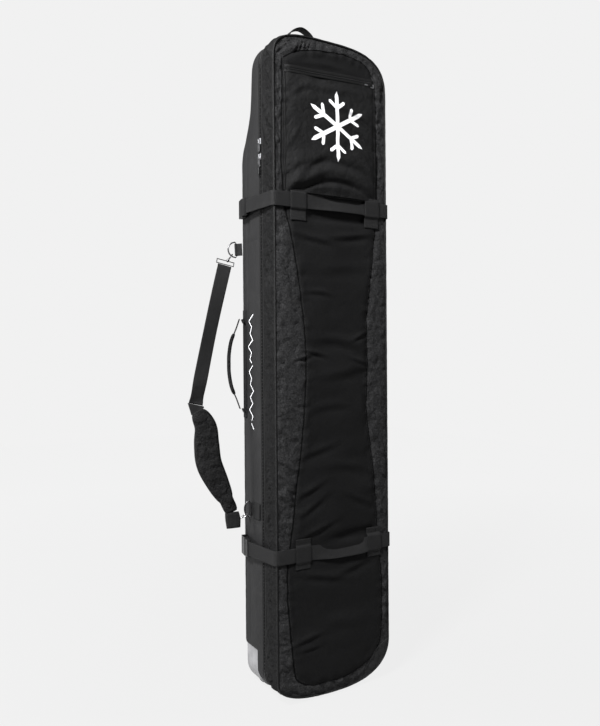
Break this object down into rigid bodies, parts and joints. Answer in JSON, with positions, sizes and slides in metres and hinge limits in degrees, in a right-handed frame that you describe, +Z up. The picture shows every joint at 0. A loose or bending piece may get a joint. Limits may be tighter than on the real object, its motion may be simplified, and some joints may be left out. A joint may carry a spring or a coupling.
{
  "type": "wheeled snowboard bag",
  "caption": "Tall padded snowboard bag on two wheels, with a zipped lid, buckled compression straps, a pocket, grab handles and a clip-on padded shoulder strap.",
  "frame": {"origin": "underside of the base skid, in the middle of the bag's width and depth, on the floor the bag stands on", "axes": "+Z up along the bag's length, -Y out of the lid, -X towards the side with the zip opening, handle and shoulder strap"},
  "size_m": [0.514, 0.2077, 1.7765],
  "materials": {
    "smooth_fabric": "matt woven polyester",
    "textured_fabric": "matt ripstop-textured polyester",
    "webbing": "woven webbing",
    "foam": "lined padding foam",
    "zip_tape": "coil zip tape",
    "plastic_black": "moulded, matt",
    "plastic_grey": "moulded, satin",
    "metal": "satin plated",
    "wheel_rubber": "matt",
    "print": "printed emblem"
  },
  "bodies": {
    "tub": {"tub_shell": "smooth_fabric", "tub_side_padding": "foam", "tub_back_padding": "foam", "back_stiffener": "plastic_black", "main_zip_tub_half": "zip_tape", "back_piping": "smooth_fabric", "base_skid": "plastic_black", "wheel_housing_left": "plastic_grey", "wheel_housing_right": "plastic_grey", "axle_left": "metal", "axle_right": "metal", "upper_buckle_socket": "plastic_black", "lower_buckle_socket": "plastic_black", "upper_socket_webbing": "webbing", "lower_socket_webbing": "webbing", "upper_ring_tab": "webbing", "lower_ring_tab": "webbing"},
    "wheel_left": {"wheel_hub_left": "plastic_grey", "tyre_left": "wheel_rubber"},
    "wheel_right": {"wheel_hub_right": "plastic_grey", "tyre_right": "wheel_rubber"},
    "lid": {"lid_shell": "textured_fabric", "lid_side_padding": "foam", "lid_front_padding": "foam", "main_zip_lid_half": "zip_tape", "front_piping": "textured_fabric", "pocket_panel": "textured_fabric", "pocket_zip": "zip_tape", "front_emblem": "print", "upper_compression_strap": "webbing", "lower_compression_strap": "webbing", "upper_buckle_plug": "plastic_black", "lower_buckle_plug": "plastic_black", "upper_keeper_left": "webbing", "upper_keeper_right": "webbing", "lower_keeper_left": "webbing", "lower_keeper_right": "webbing"},
    "upper_latch_top": {"upper_latch_arm_top": "plastic_black"},
    "upper_latch_bottom": {"upper_latch_arm_bottom": "plastic_black"},
    "lower_latch_top": {"lower_latch_arm_top": "plastic_black"},
    "lower_latch_bottom": {"lower_latch_arm_bottom": "plastic_black"},
    "upper_slider": {"upper_zip_slider": "metal"},
    "upper_pull": {"upper_zip_pull": "metal"},
    "lower_slider": {"lower_zip_slider": "metal"},
    "lower_pull": {"lower_zip_pull": "metal"},
    "pocket_slide_body": {"pocket_slider": "metal"},
    "pocket_pull_body": {"pocket_pull": "metal"},
    "side_handle": {"side_handle_webbing": "webbing", "side_handle_grip": "webbing"},
    "top_handle_body": {"top_handle": "webbing"},
    "shoulder_strap": {"lower_d_ring": "metal", "upper_d_ring": "metal", "upper_hook": "metal", "lower_hook": "metal", "shoulder_webbing": "webbing", "strap_adjuster": "plastic_black", "shoulder_pad": "textured_fabric", "pad_end_cap": "webbing"},
    "upper_gate": {"upper_hook_gate": "metal"},
    "lower_gate": {"lower_hook_gate": "metal"}
  },
  "joints": [
    {"name": "lid_hinge", "type": "hinge", "parent": "tub", "child": "lid", "pos_m": [0.175, -0.02, 0.849], "axis": [0, 0, 1], "range_deg": [0, 150]},
    {"name": "wheel_left_spin", "type": "hinge", "parent": "tub", "child": "wheel_left", "pos_m": [-0.128, 0.067, 0.0395], "axis": [1, 0, 0], "continuous": true},
    {"name": "wheel_right_spin", "type": "hinge", "parent": "tub", "child": "wheel_right", "pos_m": [0.128, 0.067, 0.0395], "axis": [1, 0, 0], "continuous": true},
    {"name": "side_handle_swing", "type": "hinge", "parent": "tub", "child": "side_handle", "pos_m": [-0.183, 0.08, 0.742], "axis": [0, 0, 1], "range_deg": [-40, 80]},
    {"name": "top_handle_swing", "type": "hinge", "parent": "tub", "child": "top_handle_body", "pos_m": [-0.03, 0.02, 1.7075], "axis": [1, 0, 0], "range_deg": [-15, 15], "stiffness_Nm_per_rad": 0.02},
    {"name": "shoulder_strap_swing", "type": "hinge", "parent": "tub", "child": "shoulder_strap", "pos_m": [-0.181, 0.045, 0.481], "axis": [-0.0129, 0.079, 0.9968], "range_deg": [-30, 70]},
    {"name": "upper_gate_hinge", "type": "hinge", "parent": "shoulder_strap", "child": "upper_gate", "pos_m": [-0.21003, 0.10672, 1.14822], "axis": [0.7727, -0.2101, -0.5991], "range_deg": [0, 20], "stiffness_Nm_per_rad": 0.02, "springref_deg": -11.46},
    {"name": "lower_gate_hinge", "type": "hinge", "parent": "shoulder_strap", "child": "lower_gate", "pos_m": [-0.20209, 0.05246, 0.46101], "axis": [0.4071, -0.1554, -0.9001], "range_deg": [0, 20], "stiffness_Nm_per_rad": 0.02, "springref_deg": -11.46},
    {"name": "upper_latch_top_flex", "type": "hinge", "parent": "lid", "child": "upper_latch_top", "pos_m": [-0.18933, 0.05142, 1.292], "axis": [0.9756, -0.2197, 0], "range_deg": [-8, 0], "stiffness_Nm_per_rad": 0.5},
    {"name": "upper_latch_bottom_flex", "type": "hinge", "parent": "lid", "child": "upper_latch_bottom", "pos_m": [-0.18933, 0.05142, 1.267], "axis": [0.9756, -0.2197, 0], "range_deg": [0, 8], "stiffness_Nm_per_rad": 0.5},
    {"name": "lower_latch_top_flex", "type": "hinge", "parent": "lid", "child": "lower_latch_top", "pos_m": [-0.18933, 0.05142, 0.3935], "axis": [0.9756, -0.2197, 0], "range_deg": [-8, 0], "stiffness_Nm_per_rad": 0.5},
    {"name": "lower_latch_bottom_flex", "type": "hinge", "parent": "lid", "child": "lower_latch_bottom", "pos_m": [-0.18933, 0.05142, 0.3685], "axis": [0.9756, -0.2197, 0], "range_deg": [0, 8], "stiffness_Nm_per_rad": 0.5},
    {"name": "upper_slider_run", "type": "slide", "parent": "tub", "child": "upper_slider", "axis": [0, 0, 1], "range_m": [0, 0.12]},
    {"name": "upper_pull_swing", "type": "hinge", "parent": "upper_slider", "child": "upper_pull", "pos_m": [-0.1801, -0.02, 1.437], "axis": [0, 1, 0], "range_deg": [0, 160]},
    {"name": "lower_slider_run", "type": "slide", "parent": "tub", "child": "lower_slider", "axis": [0, 0, 1], "range_m": [-1.25, 0]},
    {"name": "lower_pull_swing", "type": "hinge", "parent": "lower_slider", "child": "lower_pull", "pos_m": [-0.1801, -0.02, 1.398], "axis": [0, 1, 0], "range_deg": [0, 160]},
    {"name": "pocket_slider_run", "type": "slide", "parent": "lid", "child": "pocket_slide_body", "axis": [1, 0, 0], "range_m": [-0.24, 0]},
    {"name": "pocket_pull_swing", "type": "hinge", "parent": "pocket_slide_body", "child": "pocket_pull_body", "pos_m": [0.108, -0.0913, 1.613], "axis": [0, 0, -1], "range_deg": [0, 160]}
  ],
  "couplings": [
    {"joint": "upper_latch_bottom_flex", "follows": "upper_latch_top_flex", "ratio": -1},
    {"joint": "lower_latch_bottom_flex", "follows": "lower_latch_top_flex", "ratio": -1}
  ]
}
